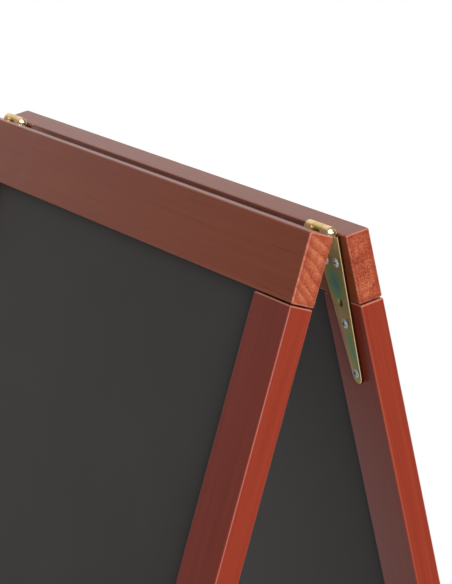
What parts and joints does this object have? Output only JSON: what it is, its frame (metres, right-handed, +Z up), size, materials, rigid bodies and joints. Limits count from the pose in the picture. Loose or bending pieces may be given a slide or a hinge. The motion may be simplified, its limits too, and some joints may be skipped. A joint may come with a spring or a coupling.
{
  "type": "folding chalkboard",
  "caption": "Two stained wooden frames with dark chalk panels, joined by strap hinges at the top and held open by chains, so that the board stands as an inverted V and folds flat.",
  "frame": {"origin": "on the floor, under the middle of the hinge line", "axes": "+Z up, -Y towards the front frame, +X to the right as seen from the front"},
  "size_m": [0.55, 0.4886, 0.8225],
  "materials": {
    "stained_wood": "semi-gloss lacquer over mahogany stain",
    "chalk_panel": "matte chalkboard paint on hardboard",
    "beech": "bare, fluted dowel",
    "yellow_zinc": "yellow zinc passivated",
    "zinc_screw": "bright zinc plated",
    "zinc_wire": "bright zinc plated wire"
  },
  "bodies": {
    "rear_frame": {"left_chain": "zinc_wire", "left_hinge_pin": "yellow_zinc", "left_hinge_rear_leaf": "yellow_zinc", "rear_bottom_rail": "stained_wood", "rear_chain_eyes": "zinc_wire", "rear_dowels": "beech", "rear_hinge_screws": "zinc_screw", "rear_left_stile": "stained_wood", "rear_panel": "chalk_panel", "rear_right_stile": "stained_wood", "rear_top_rail": "stained_wood", "right_chain": "zinc_wire", "right_hinge_pin": "yellow_zinc", "right_hinge_rear_leaf": "yellow_zinc"},
    "front_frame": {"front_bottom_rail": "stained_wood", "front_chain_eyes": "zinc_wire", "front_dowels": "beech", "front_hinge_screws": "zinc_screw", "front_left_stile": "stained_wood", "front_panel": "chalk_panel", "front_right_stile": "stained_wood", "front_top_rail": "stained_wood", "left_hinge_front_leaf": "yellow_zinc", "right_hinge_front_leaf": "yellow_zinc"}
  },
  "joints": [
    {"name": "fold", "type": "hinge", "parent": "rear_frame", "child": "front_frame", "pos_m": [0, 0, 0.81902], "axis": [1, 0, 0], "range_deg": [0, 30.32], "deforming": ["left_chain", "right_chain"]}
  ]
}
